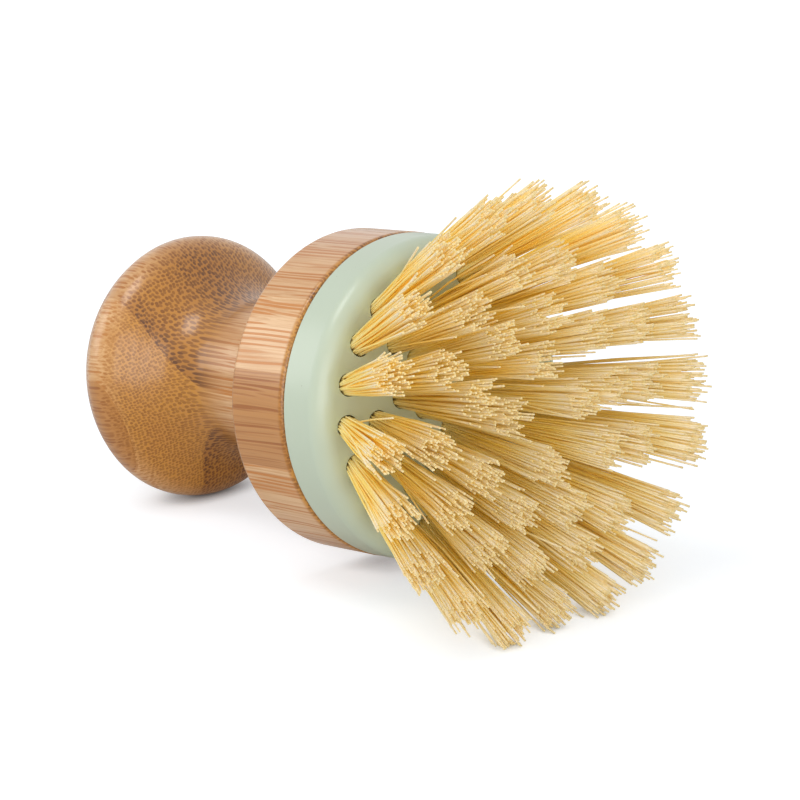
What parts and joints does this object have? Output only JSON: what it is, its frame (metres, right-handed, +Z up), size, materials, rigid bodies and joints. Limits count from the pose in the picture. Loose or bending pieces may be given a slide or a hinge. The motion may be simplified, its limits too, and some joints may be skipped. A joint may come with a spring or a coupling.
{
  "type": "dish brush",
  "caption": "Palm dish brush with a round turned bamboo knob handle and a screw-on moulded head set with rings of stiff fibre tufts.",
  "frame": {"origin": "on the surface that the brush lies on, under the middle of its bounding box", "axes": "+Z up; the brush axis lies in the XZ plane, from the knob towards +X and the bristles, raised by 7.32 degrees because the brush rests on its knob and its three lowest tufts"},
  "size_m": [0.106, 0.0733, 0.0708],
  "materials": {
    "bamboo": "satin varnish over turned bamboo",
    "head_plastic": "satin moulded, pale mint",
    "socket_plastic": "moulded, off-white",
    "seal_rubber": "matt",
    "staple_wire": "flat drawn wire",
    "bristle_fibre": "cream fibre, cut ends"
  },
  "bodies": {
    "handle": {"handle": "bamboo", "thread_socket": "socket_plastic"},
    "sealing_ring": {"sealing_ring": "seal_rubber"},
    "head": {"brush_head": "head_plastic", "anchor_staples": "staple_wire", "centre_tuft_01": "bristle_fibre", "centre_tuft_02": "bristle_fibre", "centre_tuft_03": "bristle_fibre", "centre_tuft_04": "bristle_fibre", "outer_tuft_01": "bristle_fibre", "outer_tuft_02": "bristle_fibre", "outer_tuft_03": "bristle_fibre", "outer_tuft_04": "bristle_fibre", "outer_tuft_05": "bristle_fibre", "outer_tuft_06": "bristle_fibre", "outer_tuft_07": "bristle_fibre", "outer_tuft_08": "bristle_fibre", "outer_tuft_09": "bristle_fibre", "outer_tuft_10": "bristle_fibre", "outer_tuft_11": "bristle_fibre", "outer_tuft_12": "bristle_fibre", "outer_tuft_13": "bristle_fibre", "outer_tuft_14": "bristle_fibre", "outer_tuft_15": "bristle_fibre", "outer_tuft_16": "bristle_fibre", "outer_tuft_17": "bristle_fibre", "outer_tuft_18": "bristle_fibre", "outer_tuft_19": "bristle_fibre", "outer_tuft_20": "bristle_fibre", "second_ring_tuft_01": "bristle_fibre", "second_ring_tuft_02": "bristle_fibre", "second_ring_tuft_03": "bristle_fibre", "second_ring_tuft_04": "bristle_fibre", "second_ring_tuft_05": "bristle_fibre", "second_ring_tuft_06": "bristle_fibre", "second_ring_tuft_07": "bristle_fibre", "second_ring_tuft_08": "bristle_fibre", "second_ring_tuft_09": "bristle_fibre", "second_ring_tuft_10": "bristle_fibre", "second_ring_tuft_11": "bristle_fibre", "second_ring_tuft_12": "bristle_fibre", "second_ring_tuft_13": "bristle_fibre", "second_ring_tuft_14": "bristle_fibre", "third_ring_tuft_01": "bristle_fibre", "third_ring_tuft_02": "bristle_fibre", "third_ring_tuft_03": "bristle_fibre", "third_ring_tuft_04": "bristle_fibre", "third_ring_tuft_05": "bristle_fibre", "third_ring_tuft_06": "bristle_fibre", "third_ring_tuft_07": "bristle_fibre", "third_ring_tuft_08": "bristle_fibre", "third_ring_tuft_09": "bristle_fibre"}
  },
  "joints": [
    {"name": "seal_lift", "type": "slide", "parent": "handle", "child": "sealing_ring", "axis": [0.9919, 0, 0.1273], "range_m": [0, 0.012]},
    {"name": "head_unscrew", "type": "hinge", "parent": "sealing_ring", "child": "head", "pos_m": [0.0018, 0, 0.02871], "axis": [0.9919, 0, 0.1273], "range_deg": [0, 1080]}
  ],
  "couplings": [
    {"joint": "seal_lift", "follows": "head_unscrew", "m_per_rad": 0.00063662}
  ]
}
